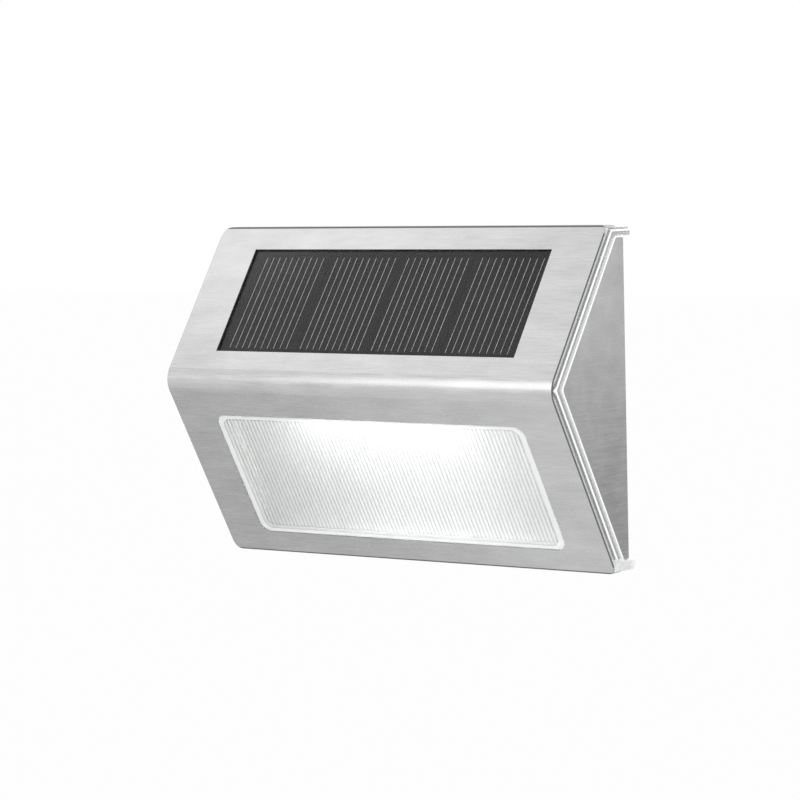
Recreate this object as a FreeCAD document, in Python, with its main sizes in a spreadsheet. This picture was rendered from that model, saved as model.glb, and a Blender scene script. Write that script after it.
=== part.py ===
import FreeCAD, Part
import math
import os

import Sketcher
from FreeCAD import Placement, Rotation, Vector

# A solar light for a fence or a wall: a folded steel cover over a clear moulded housing.
# The upper slope carries a solar panel and the lower slope a reeded window lit from behind.
# Millimetres. The origin is the middle of the back, on the wall's surface.
# +X is to the right seen from in front, +Y goes into the wall and +Z is up.

SIZES = [
    # Outline of the steel cover, as virtual corners of its side view
    ("cover_width", 115.0, "steel cover, end to end"),
    ("cover_height", 81.0, "steel cover, top to bottom"),
    ("top_depth", 8.7, "wall to the top edge of the upper slope"),
    ("crease_depth", 33.0, "wall to the corner of the two slopes"),
    ("crease_height", 44.5, "bottom of the cover to the corner of the slopes"),
    ("bottom_depth", 7.5, "wall to the bottom edge of the lower slope"),
    ("steel", 0.5, "thickness of the steel sheet"),
    ("crease_radius", 5.5, "outside of the bend between the slopes"),
    ("edge_radius", 1.0, "outside of the bends to the turned edges"),
    ("corner_radius", 2.2, "rounded corners of the cover seen from in front"),
    ("edge_setback", 3.7, "wall to the free end of the turned edges"),
    ("cover_gap", 0.05, "cover to the housing that it wraps"),
    # Openings of the cover
    ("panel_side", 12.85, "end of the cover to the panel's opening"),
    ("panel_drop", 6.45, "top edge of the slope to the panel's opening"),
    ("panel_foot", 8.4, "panel's opening to the corner of the slopes"),
    ("window_side", 11.3, "end of the cover to the window's opening"),
    ("window_drop", 10.2, "corner of the slopes to the window's opening"),
    ("window_foot", 6.09, "window's opening to the bottom edge of the slope"),
    ("window_radius", 3.0, "rounded corners of the window's opening"),
    # Clear housing
    ("wall", 1.8, "walls of the housing"),
    ("rim_proud", 0.5, "rim past the end of the cover"),
    ("rim_step", 1.6, "rim above the side plate"),
    ("rim_width", 4.1, "rim along the slopes, from the face of the cover"),
    ("rim_cap", 2.9, "rim at the top and the bottom"),
    ("rim_bevel", 0.65, "bevel on the outer corner of the rim"),
    ("window_rise", 0.4, "raised pad of the window above the housing's face"),
    ("window_gap", 0.2, "window's pad to the edge of its opening"),
    ("reed_pitch", 1.15, "reeds of the window, one to the next"),
    ("reed_gap", 0.05, "flat between two reeds"),
    ("reed_side", 1.7, "edge of the window's pad to the reeds"),
    ("reed_height", 0.3, "reeds behind the window"),
    ("reed_crown", 0.55, "flat top of each reed"),
    ("reed_corner", 2.0, "rounded corners of the reeded field"),
    ("reed_border", 1.3, "plain border above and below the reeds"),
    ("shelf_width", 2.0, "ledge that carries the gasket"),
    ("boss_gap", 0.25, "gasket to the cover screws beside it"),
    ("boss_foot", 9.0, "top and bottom of the cover to the screw bosses"),
    ("boss_radius", 2.7, "screw bosses"),
    ("pilot_spare", 0.4, "holes past the ends of the screws driven into them"),
    ("tray_wall", 1.25, "floor of the panel's tray"),
    # Side plates
    ("plate_gap", 0.15, "side plate to the rim round it"),
    ("tape", 0.15, "adhesive films"),
    ("tape_inset", 1.5, "adhesive film inside the plate's edge"),
    ("plate_setback", 0.3, "wall to the back edge of the side plate"),
    # Solar panel
    ("panel_overlap", 1.0, "panel under the edge of its opening"),
    ("film", 0.4, "clear resin over the cells"),
    ("cell_sheet", 0.25, "solar cells"),
    ("solar_board", 1.2, "board under the cells"),
    ("cell_count", 4, "solar cells across the panel"),
    ("cell_gap", 0.4, "between two solar cells"),
    ("cell_left", 2.65, "left edge of the panel's opening to the cells"),
    ("cell_right", 0.25, "right edge of the panel's opening to the cells"),
    ("cell_border", 1.0, "panel's opening to the cells, along the slope"),
    ("part_gap", 0.1, "between neighbours that are laid in place"),
    # Reflector and its lights
    ("reflector_wall", 1.2, "walls of the reflector"),
    ("reflector_lap", 1.5, "reflector past the window's opening, sideways"),
    ("reflector_lead", 2.8, "reflector above the window's opening"),
    ("reflector_tail", 2.4, "reflector below the window's opening"),
    ("reflector_deep", 12.2, "reflector's upper back corner under the cover's face"),
    ("reflector_shallow", 7.0, "reflector's lower back corner under the cover's face"),
    ("led_board", 0.8, "board of the lights"),
    ("led_board_width", 60.0, "board of the lights, across"),
    ("led_board_depth", 6.0, "board of the lights, front to back"),
    ("led_depth", 7.2, "middle of the lights under the cover's face"),
    ("led_pitch", 18.7, "lights, one to the next"),
    ("notch_gap", 0.6, "wires to the notch of the reflector"),
    ("led_count", 3, "lights on the board"),
    ("led_width", 3.5, "each light, across"),
    ("led_breadth", 2.8, "each light, front to back"),
    ("led_height", 0.9, "each light, off its board"),
    # Back cover and what closes it
    ("back", 2.2, "thickness of the back cover"),
    ("back_gap", 0.2, "back cover inside the housing"),
    ("back_radius", 1.0, "corners of the back cover"),
    ("gasket", 0.55, "thickness of the gasket"),
    ("gasket_width", 1.6, "width of the gasket"),
    ("gasket_gap", 0.05, "free space on each face of the gasket"),
    ("screw_radius", 1.1, "cover screws"),
    ("screw_head_radius", 2.0, "heads of the cover screws"),
    ("screw_head", 1.2, "height of the cover screws' heads"),
    ("screw_sink", 0.2, "heads below the face of the back cover"),
    ("screw_reach", 8.2, "wall to the ends of the cover screws"),
    ("thread_gap", 0.05, "screw to the hole that it is driven into"),
    ("free_gap", 0.15, "screw to the hole that it passes through"),
    # Keyholes
    ("keyhole_side", 19.5, "end of the cover to the keyholes"),
    ("keyhole_drop", 20.5, "top of the cover to the round mouths of the keyholes"),
    ("keyhole_radius", 4.0, "round mouths of the keyholes"),
    ("keyhole_slot", 4.2, "width of the keyhole slots"),
    ("keyhole_rise", 8.0, "mouth to the end of its slot"),
    ("keyhole_room", 4.0, "room for a wall screw's head"),
    ("keyhole_gap", 0.2, "wall screw's head to the ends of its pocket"),
    ("pocket_wall", 1.2, "walls round the keyhole pockets"),
    ("pocket_side", 1.2, "keyhole pocket past the mouth, sideways"),
    # Battery
    ("battery_radius", 7.1, "rechargeable cell"),
    ("battery_length", 50.5, "rechargeable cell with its nub"),
    ("battery_nub", 1.3, "height of the nub"),
    ("battery_nub_radius", 2.8, "nub"),
    ("battery_depth", 10.8, "wall to the axis of the cell"),
    ("battery_rise", 51.0, "bottom of the cover to the axis of the cell"),
    ("saddle_gap", 0.2, "cell to its saddles"),
    ("saddle_wall", 1.0, "arms of the saddles beside the cell"),
    ("saddle_reach", 1.7, "arms of the saddles past the axis"),
    ("saddle_width", 2.0, "saddles along the cell"),
    ("saddle_spacing", 30.0, "saddles, one to the other"),
    ("contact", 0.4, "contact strips"),
    ("contact_width", 7.0, "contact strips, upwards"),
    ("contact_room", 2.9, "end of the cell to the strip behind the spring"),
    ("contact_gap", 0.1, "contact strips to the cell and the holder"),
    ("leaf_half", 3.6, "bent leaf of a contact, from the axis to its roots"),
    ("holder_wall", 1.6, "end walls of the battery holder"),
    ("holder_width", 8.0, "end walls of the battery holder, upwards"),
    ("holder_reach", 4.3, "end walls of the battery holder past the axis"),
    # Control board and switch
    ("control_board", 1.2, "control board"),
    ("control_width", 40.0, "control board, across"),
    ("control_height", 15.0, "control board, upwards"),
    ("control_depth", 5.9, "wall to the back face of the control board"),
    ("control_rise", 26.5, "bottom of the cover to the middle of the control board"),
    ("post_inset", 2.5, "end of the control board to its posts"),
    ("post_radius", 2.2, "posts of the control board"),
    ("pilot_floor", 0.6, "back cover's face to the bottom of the posts' holes"),
    ("small_screw_radius", 0.9, "screws of the control board"),
    ("small_head_radius", 1.7, "heads of the small screws"),
    ("small_head", 0.9, "height of the small screws' heads"),
    ("recess_width", 0.6, "cross recess in the heads of the screws"),
    ("recess_length", 2.4, "cross recess in the heads of the screws"),
    ("recess_depth", 0.6, "cross recess in the heads of the screws"),
    ("component_across", 10.5, "middle of the board to its components"),
    ("chip_width", 5.0, "controller chip, across"),
    ("chip_height", 4.0, "controller chip, upwards"),
    ("chip_thickness", 1.5, "controller chip"),
    ("chip_rise", 1.5, "controller chip above the middle of the board"),
    ("coil_radius", 1.6, "inductor"),
    ("coil_length", 7.0, "inductor"),
    ("coil_drop", 4.0, "inductor below the middle of the board"),
    ("can_radius", 1.5, "capacitor"),
    ("can_length", 2.8, "capacitor, off its board"),
    ("can_rise", 3.5, "capacitor above the middle of the board"),
    ("switch_width", 8.6, "slide switch, across"),
    ("switch_height", 4.4, "slide switch, upwards"),
    ("switch_gap", 0.4, "slide switch to the back cover"),
    ("switch_travel", 3.0, "travel of the knob"),
    ("knob_width", 2.6, "knob of the switch, across"),
    ("knob_height", 1.8, "knob of the switch, upwards"),
    ("knob_sink", 0.5, "top of the knob below the back"),
    ("knob_gap", 0.1, "knob to the slot of the switch"),
    ("knob_seat", 1.0, "knob inside the switch"),
    ("slot_gap", 0.3, "knob to its slot in the back cover"),
    ("finger_width", 12.0, "finger recess round the knob, across"),
    ("finger_height", 6.4, "finger recess round the knob, upwards"),
    ("finger_depth", 0.9, "finger recess round the knob"),
    ("finger_radius", 2.9, "corners of the finger recess"),
    # Props behind the reflector, and wires
    ("prop_spacing", 60.0, "props that hold the reflector"),
    ("prop_rise", 16.5, "bottom of the cover to the props"),
    ("prop_radius", 1.5, "props that hold the reflector"),
    ("prop_gap", 0.3, "props to the reflector"),
    ("wire_radius", 0.5, "insulated wires"),
    ("wire_spacing", 1.6, "two wires of one pair"),
    ("wire_across", 18.5, "middle to the pairs of the panel and the lights"),
    ("wire_hole", 2.0, "hole that lets a pair of wires through"),
    ("hole_gap", 0.4, "hole of the panel's tape past the wires' hole"),
    ("panel_lead", 3.2, "panel's wires, straight from the tray"),
    ("led_lead", 2.4, "wires of the lights, straight out of the reflector"),
    ("bend_above", 3.1, "wires' turn above the gap of cell and reflector"),
    ("bend_below", 4.6, "wires' turn below the gap of cell and reflector"),
    ("board_lead", 2.6, "wires, straight from the control board"),
    ("solder_rise", 4.5, "middle of the board to the wires' ends, upwards"),
    ("solder_inset", 1.0, "end of the board to the battery wires' ends"),
    ("battery_run", 1.7, "battery wires behind the control board"),
    ("battery_turn", 9.0, "battery wires' first turn above their ends"),
    ("battery_swing", 4.0, "battery wires' second turn beside their ends"),
    ("battery_sag", 1.5, "battery wires' second turn above their ends"),
]

# A cutter reaches this far past what it cuts.
PAST = 2.0

# Flats round each wire.
WIRE_SIDES = 6


class Size:
    """A number with the sheet formula that gives it."""

    def __init__(self, value, formula):
        self.value = float(value)
        self.formula = formula

    def __add__(self, other):
        other = sized(other)
        return Size(self.value + other.value, "(%s + %s)" % (self.formula, other.formula))

    def __sub__(self, other):
        other = sized(other)
        return Size(self.value - other.value, "(%s - %s)" % (self.formula, other.formula))

    def __mul__(self, other):
        other = sized(other)
        return Size(self.value * other.value, "(%s * %s)" % (self.formula, other.formula))

    def __truediv__(self, other):
        other = sized(other)
        return Size(self.value / other.value, "(%s / %s)" % (self.formula, other.formula))

    def __neg__(self):
        return Size(-self.value, "(0 - %s)" % self.formula)

    def __float__(self):
        return self.value


def sized(item):
    return item if isinstance(item, Size) else Size(item, str(item))


def slope_length(across, up):
    """Length of a slope with these two legs."""
    return Size(math.hypot(across.value, up.value), "sqrt(%s ^ 2 + %s ^ 2)" % (across.formula, up.formula))


def whole(item):
    """How many whole copies fit."""
    return Size(math.floor(item.value), "floor(%s)" % item.formula)


doc = FreeCAD.newDocument("fence_light")
sheet = doc.addObject("Spreadsheet::Sheet", "Sizes")
for row, (alias, number, meaning) in enumerate(SIZES, start=1):
    sheet.set("A%d" % row, alias)
    sheet.set("B%d" % row, str(number))
    sheet.set("C%d" % row, meaning)
    sheet.setAlias("B%d" % row, alias)
doc.recompute()


def size(alias):
    return Size(sheet.get(alias), "Sizes." + alias)


# Three frames. WALL: across, up, out of the wall. UPPER and LOWER: across, down the slope, inwards.

half_height = size("cover_height") / 2
crease_level = size("crease_height") - half_height
top_corner = Vector(0, -float(size("top_depth")), float(half_height))
crease = Vector(0, -float(size("crease_depth")), float(crease_level))
bottom_corner = Vector(0, -float(size("bottom_depth")), -float(half_height))
upper_length = slope_length(size("crease_depth") - size("top_depth"), half_height - crease_level)
lower_length = slope_length(size("crease_depth") - size("bottom_depth"), size("crease_height"))

# Openings of the cover, and the levels of what the back cover carries

panel_width = size("cover_width") - size("panel_side") * 2
panel_height = upper_length - size("panel_drop") - size("panel_foot")
window_width = size("cover_width") - size("window_side") * 2
window_height = lower_length - size("window_drop") - size("window_foot")
window_end = size("window_drop") + window_height
boss_up = half_height - size("boss_foot")
keyhole_across = size("cover_width") / 2 - size("keyhole_side")
keyhole_level = half_height - size("keyhole_drop")
battery_level = size("battery_rise") - half_height
control_level = size("control_rise") - half_height
solder_level = control_level + size("solder_rise")
post_across = size("control_width") / 2 - size("post_inset")


def slope_frame(start, end):
    along = end - start
    return Placement(start, Rotation(Vector(1, 0, 0), math.degrees(math.atan2(along.z, along.y))))


WALL = Placement(Vector(), Rotation(Vector(1, 0, 0), 90))
UPPER = slope_frame(top_corner, crease)
LOWER = slope_frame(crease, bottom_corner)
PLAIN = Placement()


def moved(frame, x=0.0, y=0.0, z=0.0):
    return frame * Placement(Vector(float(x), float(y), float(z)), Rotation())


# Sketches

def pin(sketch, name, axis, element, point, place):
    """Ties one coordinate of a point to the sheet."""
    kind = "DistanceX" if axis == "x" else "DistanceY"
    if abs(place.value) < 1e-9:
        sketch.addConstraint(Sketcher.Constraint("PointOnObject", element, point, -2 if axis == "x" else -1))
        return
    if place.value > 0:
        constraint = Sketcher.Constraint(kind, -1, 1, element, point, place.value)
        formula = place.formula
    else:
        constraint = Sketcher.Constraint(kind, element, point, -1, 1, -place.value)
        formula = "0 - " + place.formula
    tie(sketch, name, constraint, formula)


def tie(sketch, name, constraint, formula):
    index = sketch.addConstraint(constraint)
    sketch.renameConstraint(index, name)
    sketch.setExpression("Constraints." + name, formula)


def crossing(first, second):
    """Where two lines meet, each given as a point and a direction."""
    (p, d), (q, e) = first, second
    reach = ((q.x - p.x) * e.y - (q.y - p.y) * e.x) / (d.x * e.y - d.y * e.x)
    return p + d * reach


def corner_arc(before, corner, after, radius):
    """Start, end and arc that round a corner, with True when the outline turns left there."""
    back = (before - corner).normalize()
    ahead = (after - corner).normalize()
    half = math.acos(max(-1.0, min(1.0, back.dot(ahead)))) / 2
    start = corner + back * (radius / math.tan(half))
    end = corner + ahead * (radius / math.tan(half))
    centre = corner + (back + ahead).normalize() * (radius / math.sin(half))
    left = back.x * ahead.y - back.y * ahead.x < 0
    angles = [math.atan2(p.y - centre.y, p.x - centre.x) for p in ((start, end) if left else (end, start))]
    arc = Part.ArcOfCircle(Part.Circle(centre, Vector(0, 0, 1), radius), *angles)
    return start, end, arc, left


def draw_outline(sketch, sides, radii, guides=()):
    """Closed outline of sides. A side is ("x" or "y", name, place) or ("slope", name, inset, guide)."""
    lines = []
    for kind, name, place, *rest in sides:
        if kind == "slope":
            a, b = guides[rest[0]][1:]
            direction = (b - a).normalize()
            lines.append((a + Vector(-direction.y, direction.x, 0) * place.value, direction))
        elif kind == "x":
            lines.append((Vector(place.value, 0, 0), Vector(0, 1, 0)))
        else:
            lines.append((Vector(0, place.value, 0), Vector(1, 0, 0)))
    count = len(sides)
    corners = [crossing(lines[i], lines[(i + 1) % count]) for i in range(count)]
    rounds = []
    for i, radius in enumerate(radii):
        around = (corners[i - 1], corners[i], corners[(i + 1) % count])
        rounds.append(corner_arc(*around, radius.value) if radius else None)
    elements = []
    for i in range(count):
        start = rounds[i - 1][1] if rounds[i - 1] else corners[i - 1]
        end = rounds[i][0] if rounds[i] else corners[i]
        elements.append(sketch.addGeometry(Part.LineSegment(start, end), False))
    for i, corner in enumerate(rounds):
        following = elements[(i + 1) % count]
        if corner is None:
            sketch.addConstraint(Sketcher.Constraint("Coincident", elements[i], 2, following, 1))
            continue
        arc = sketch.addGeometry(corner[2], False)
        first, last = (1, 2) if corner[3] else (2, 1)
        sketch.addConstraint(Sketcher.Constraint("Tangent", elements[i], 2, arc, first))
        sketch.addConstraint(Sketcher.Constraint("Tangent", arc, last, following, 1))
        tie(sketch, "radius%d" % i, Sketcher.Constraint("Radius", arc, radii[i].value), radii[i].formula)
    for (kind, name, place, *rest), element in zip(sides, elements):
        if kind == "slope":
            guide = guides[rest[0]][0]
            sketch.addConstraint(Sketcher.Constraint("Parallel", element, guide))
            if abs(place.value) < 1e-9:
                sketch.addConstraint(Sketcher.Constraint("PointOnObject", element, 1, guide))
            else:
                inset = Sketcher.Constraint("Distance", element, 1, guide, place.value)
                tie(sketch, name, inset, place.formula)
        else:
            sketch.addConstraint(Sketcher.Constraint("Vertical" if kind == "x" else "Horizontal", element))
            pin(sketch, name, kind, element, 1, place)


def draw_polygon(sketch, corners):
    """Closed outline through corners, each a pair of sizes."""
    points = [Vector(x.value, y.value, 0) for x, y in corners]
    count = len(points)
    elements = [sketch.addGeometry(Part.LineSegment(points[i], points[(i + 1) % count]), False)
                for i in range(count)]
    for i in range(count):
        sketch.addConstraint(Sketcher.Constraint("Coincident", elements[i], 2, elements[(i + 1) % count], 1))
    for i, (x, y) in enumerate(corners):
        pin(sketch, "across%d" % i, "x", elements[i], 1, x)
        pin(sketch, "up%d" % i, "y", elements[i], 1, y)


def draw_guides(sketch):
    """The cover's two slopes as construction lines of a side view."""
    places = [(-size("top_depth"), half_height), (-size("crease_depth"), crease_level),
              (-size("bottom_depth"), -half_height)]
    points = [Vector(x.value, y.value, 0) for x, y in places]
    upper = sketch.addGeometry(Part.LineSegment(points[0], points[1]), True)
    lower = sketch.addGeometry(Part.LineSegment(points[1], points[2]), True)
    sketch.addConstraint(Sketcher.Constraint("Coincident", upper, 2, lower, 1))
    for name, element, point, (x, y) in (("top", upper, 1, places[0]), ("crease", upper, 2, places[1]),
                                         ("bottom", lower, 2, places[2])):
        pin(sketch, name + "_depth", "x", element, point, x)
        pin(sketch, name + "_level", "y", element, point, y)
    return [(upper, points[0], points[1]), (lower, points[1], points[2])]


def new_body(label, plane):
    body = doc.addObject("PartDesign::Body", label)
    body.Label = label
    sketch = body.newObject("Sketcher::SketchObject", label + "_outline")
    support = [feature for feature in body.Origin.OriginFeatures if feature.Role == plane][0]
    sketch.AttachmentSupport = [(support, "")]
    sketch.MapMode = "FlatFace"
    return body, sketch


def pad(body, sketch, length):
    feature = body.newObject("PartDesign::Pad", body.Label + "_pad")
    feature.Profile = sketch
    feature.Length = length.value
    feature.setExpression("Length", length.formula)
    sketch.Visibility = False
    return feature


# Solids

def wedge(label, start, length, slope_inset, cap_inset, rear, bend_radius, edge_radius):
    """The light's side outline, inset from the cover's face, carried across from start."""
    body, sketch = new_body(label, "YZ_Plane")
    guides = draw_guides(sketch)
    level = half_height - cap_inset
    sides = [("x", "rear", -rear), ("y", "top", level), ("slope", "upper", slope_inset, 0),
             ("slope", "lower", slope_inset, 1), ("y", "foot", -level)]
    draw_outline(sketch, sides, [None, edge_radius, bend_radius, edge_radius, None], guides)
    pad(body, sketch, length)
    body.Placement = moved(PLAIN, x=start)
    return body


def rounded_slab(label, frame, x, y, z, radius):
    """A slab with rounded corners. x, y and z are pairs of sizes in the frame."""
    body, sketch = new_body(label, "XY_Plane")
    sides = [("x", "right", x[1]), ("y", "upper", y[1]), ("x", "left", x[0]), ("y", "lower", y[0])]
    draw_outline(sketch, sides, [radius] * 4)
    pad(body, sketch, z[1] - z[0])
    body.Placement = moved(frame, z=z[0])
    return body


def prism(label, frame, plane, corners, start, length):
    """A polygon carried along the normal of one of the frame's planes."""
    body, sketch = new_body(label, plane)
    draw_polygon(sketch, corners)
    pad(body, sketch, length)
    offset = {"XY_Plane": {"z": start}, "YZ_Plane": {"x": start}}[plane]
    body.Placement = moved(frame, **offset)
    return body


def block(label, frame, x, y, z):
    box = doc.addObject("Part::Box", label)
    box.Label = label
    for side, (low, high) in zip(("Length", "Width", "Height"), (x, y, z)):
        span = sized(high) - low
        setattr(box, side, span.value)
        box.setExpression(side, span.formula)
    box.Placement = moved(frame, x[0], y[0], z[0])
    return box


def rod(label, frame, x, y, z, radius):
    """A cylinder along the frame's Z, from z[0] to z[1]."""
    cylinder = doc.addObject("Part::Cylinder", label)
    cylinder.Label = label
    span = sized(z[1]) - z[0]
    cylinder.Radius = radius.value
    cylinder.setExpression("Radius", radius.formula)
    cylinder.Height = span.value
    cylinder.setExpression("Height", span.formula)
    cylinder.Placement = moved(frame, x, y, z[0])
    return cylinder


def joined(label, pieces):
    fuse = doc.addObject("Part::MultiFuse", label)
    fuse.Label = label
    fuse.Shapes = pieces
    return fuse


def less(label, base, tools):
    tool = tools[0] if len(tools) == 1 else joined(label + "_cutters", tools)
    cut = doc.addObject("Part::Cut", label)
    cut.Label = label
    cut.Base = base
    cut.Tool = tool
    return cut


def shared(label, first, second):
    common = doc.addObject("Part::MultiCommon", label)
    common.Label = label
    common.Shapes = [first, second]
    return common


def grouped(label, pieces):
    """Separate solids of one kind, kept under one name."""
    group = doc.addObject("Part::Compound", label)
    group.Label = label
    group.Links = pieces
    return group


def centred(width, middle=None):
    middle = sized(0) if middle is None else middle
    return middle - width / 2, middle + width / 2


def signs():
    return (("left", -1), ("right", 1))


# Steel cover and side plates

def make_front_cover():
    width = size("cover_width")
    steel = size("steel")
    bend = size("crease_radius")
    edge = size("edge_radius")
    setback = size("edge_setback")
    outside = wedge("cover_outside", -width / 2, width, sized(0), sized(0), setback, bend, edge)
    inside = wedge("cover_inside", -width / 2 - PAST, width + 2 * PAST, steel, steel, setback - PAST,
                   bend - steel, edge - steel)
    folded = less("cover_folded", outside, [inside])
    front_view = rounded_slab("cover_front_view", WALL, centred(width), centred(size("cover_height")),
                              (sized(0), size("crease_depth")), size("corner_radius"))
    rounded = shared("cover_rounded", folded, front_view)
    panel = block("panel_opening", UPPER, centred(panel_width),
                  (size("panel_drop"), size("panel_drop") + panel_height), (sized(-PAST), steel + PAST))
    window = rounded_slab("window_opening", LOWER, centred(window_width), (size("window_drop"), window_end),
                          (sized(-PAST), steel + PAST), size("window_radius"))
    return [less("front_cover", rounded, [panel, window])]


skin = size("steel") + size("cover_gap")
rim_end = size("cover_width") / 2 + size("rim_proud")
plate_face = rim_end - size("rim_step")
plate_seat = plate_face - size("steel") - size("tape")
side_inner = plate_seat - size("wall")
wall_inset = skin + size("wall")
cavity_top = half_height - wall_inset
shelf_depth = size("back") + size("gasket") + size("gasket_gap") * 2


def make_side_plates():
    plates = []
    gap = size("plate_gap")
    steel = size("steel")
    bend = size("crease_radius") - size("rim_width") - gap
    tape_inset = gap + size("tape_inset")
    for name, sign in signs():
        start = plate_face * sign - (steel if sign > 0 else sized(0))
        plates.append(wedge("side_plate_" + name, start, steel, size("rim_width") + gap,
                            size("rim_cap") + gap, size("plate_setback"), bend, None))
        start = plate_seat * sign - (sized(0) if sign > 0 else size("tape"))
        plates.append(wedge("side_tape_" + name, start, size("tape"), size("rim_width") + tape_inset,
                            size("rim_cap") + tape_inset, size("plate_setback") + tape_inset, None, None))
    return plates


# Clear housing: walls, rims, gasket ledge, bosses, panel tray and reeded window

panel_half = panel_width / 2 + size("panel_overlap")
panel_start = size("panel_drop") - size("panel_overlap")
panel_end = size("panel_drop") + panel_height + size("panel_overlap")
film_face = skin + size("cover_gap")
cell_face = film_face + size("film")
board_face = cell_face + size("cell_sheet")
board_back = board_face + size("solar_board")
tray_floor = board_back + size("tape")


def screw_places():
    return [(boss_across * a, boss_up * b) for a in (-1, 1) for b in (-1, 1)]


def make_window_pad():
    gap = size("window_gap")
    top = size("window_drop")
    across = window_width - gap * 2
    pad_face = skin - size("window_rise")
    raised = rounded_slab("window_pad", LOWER, centred(across), (top + gap, window_end - gap),
                          (pad_face, skin + size("wall") / 2), size("window_radius") - gap)
    border = size("reed_border")
    return [raised, make_reeds(across - size("reed_side") * 2, top + border, window_end - border)]


def make_reeds(across, top, bottom):
    """Flat-topped reeds side by side on the inner face, running down the slope, in a rounded field."""
    pitch = size("reed_pitch")
    count = whole(across / pitch)
    middle = (count - 1) / 2 * -pitch
    foot = centred(pitch - size("reed_gap"), middle)
    crown = centred(size("reed_crown"), middle)
    root = wall_inset - size("wall") / 4
    top_face = wall_inset + size("reed_height")
    reeds, sketch = new_body("reeds", "XZ_Plane")
    draw_polygon(sketch, [(foot[0], wall_inset), (foot[0], root), (foot[1], root), (foot[1], wall_inset),
                          (crown[1], top_face), (crown[0], top_face)])
    reed = pad(reeds, sketch, bottom - top)
    reed.Reversed = True
    row_of_reeds = reeds.newObject("PartDesign::LinearPattern", "reed_row")
    row_of_reeds.Originals = [reed]
    row_of_reeds.Direction = (sketch, ["H_Axis"])
    row_of_reeds.Mode = "Spacing"
    row_of_reeds.Offset = pitch.value
    row_of_reeds.setExpression("Offset", pitch.formula)
    row_of_reeds.setExpression("Occurrences", count.formula)
    reeds.Tip = row_of_reeds
    reeds.Placement = moved(LOWER, y=top)
    field = rounded_slab("reed_field", LOWER, centred(across), (top, bottom), (root - PAST, top_face + PAST),
                         size("reed_corner"))
    return shared("reeds_in_field", reeds, field)


def make_clear_housing():
    width = rim_end * 2
    bend = size("crease_radius")
    edge = size("edge_radius")
    outside = wedge("housing_outside", -rim_end, width, skin, skin, sized(0), bend - skin, edge - skin / 2)
    cavity = wedge("housing_cavity", -side_inner, side_inner * 2, wall_inset, wall_inset, sized(-PAST),
                   bend - wall_inset, None)
    shell = less("housing_shell", outside, [cavity])
    tray_half = panel_half + size("part_gap")
    tray = block("panel_tray", UPPER, centred((tray_half + size("wall")) * 2),
                 (panel_start - size("wall"), panel_end + size("wall")),
                 (wall_inset - size("wall") / 4, tray_floor + size("tray_wall")))
    ledge_across = side_inner + size("wall") / 2
    ledge_up = cavity_top + size("wall") / 2
    ledge_z = (shelf_depth, shelf_depth + size("shelf_width"))
    ledge = less("gasket_ledge",
                 block("ledge_outside", WALL, centred(ledge_across * 2), centred(ledge_up * 2), ledge_z),
                 [block("ledge_opening", WALL, centred((side_inner - size("shelf_width")) * 2),
                        centred((cavity_top - size("shelf_width")) * 2),
                        (ledge_z[0] - PAST, ledge_z[1] + PAST))])
    posts = [rod("boss_%d" % i, WALL, x, y, (shelf_depth, size("crease_depth")), size("boss_radius"))
             for i, (x, y) in enumerate(screw_places(), start=1)]
    bosses = shared("bosses", joined("boss_posts", posts), outside)
    body = joined("housing_body", [shell, tray, ledge, bosses] + make_window_pad())
    gap = size("part_gap")
    cutters = [block("panel_pocket", UPPER, centred(tray_half * 2), (panel_start - gap, panel_end + gap),
                     (sized(-PAST), tray_floor))]
    for name, sign in signs():
        start = plate_seat if sign > 0 else -rim_end - PAST
        cutters.append(wedge("side_recess_" + name, start, rim_end - plate_seat + PAST, size("rim_width"),
                             size("rim_cap"), sized(-PAST), bend - size("rim_width"), None))
    pilot = size("screw_radius") + size("thread_gap")
    depths = (shelf_depth - PAST, size("screw_reach") + size("pilot_spare"))
    cutters += [rod("pilot_%d" % i, WALL, x, y, depths, pilot)
                for i, (x, y) in enumerate(screw_places(), start=1)]
    cutters.append(rod("wire_passage", UPPER, solar_wire_across, solar_wire_drop,
                       (board_back, tray_floor + PAST), size("wire_hole")))
    moulded = less("housing_moulded", body, cutters)
    doc.recompute()
    return [bevelled("clear_housing", moulded)]


def bevelled(label, solid):
    """Bevels the outer corner of the rim at both ends of the housing."""
    bevel = size("rim_bevel").value
    chosen = []
    for number, edge in enumerate(solid.Shape.Edges, start=1):
        across = edge.BoundBox
        at_end = abs(abs(across.XMin) - rim_end.value) < 1e-4 and across.XLength < 1e-4
        if at_end and on_outline(edge.CenterOfMass):
            chosen.append((number, bevel, bevel))
    chamfer = doc.addObject("Part::Chamfer", label)
    chamfer.Label = label
    chamfer.Base = solid
    chamfer.Edges = chosen
    return chamfer


def on_outline(point):
    """True near the light's outer side outline, away from the back and the side recess."""
    depth = min(UPPER.inverse().multVec(point).z, LOWER.inverse().multVec(point).z,
                float(half_height) - abs(point.z))
    return depth < size("rim_cap").value * 0.6 and point.y < -1e-3


# Solar panel

solar_wire_across = size("wire_across")
solar_wire_drop = panel_end - size("wire_hole") * 2


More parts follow.
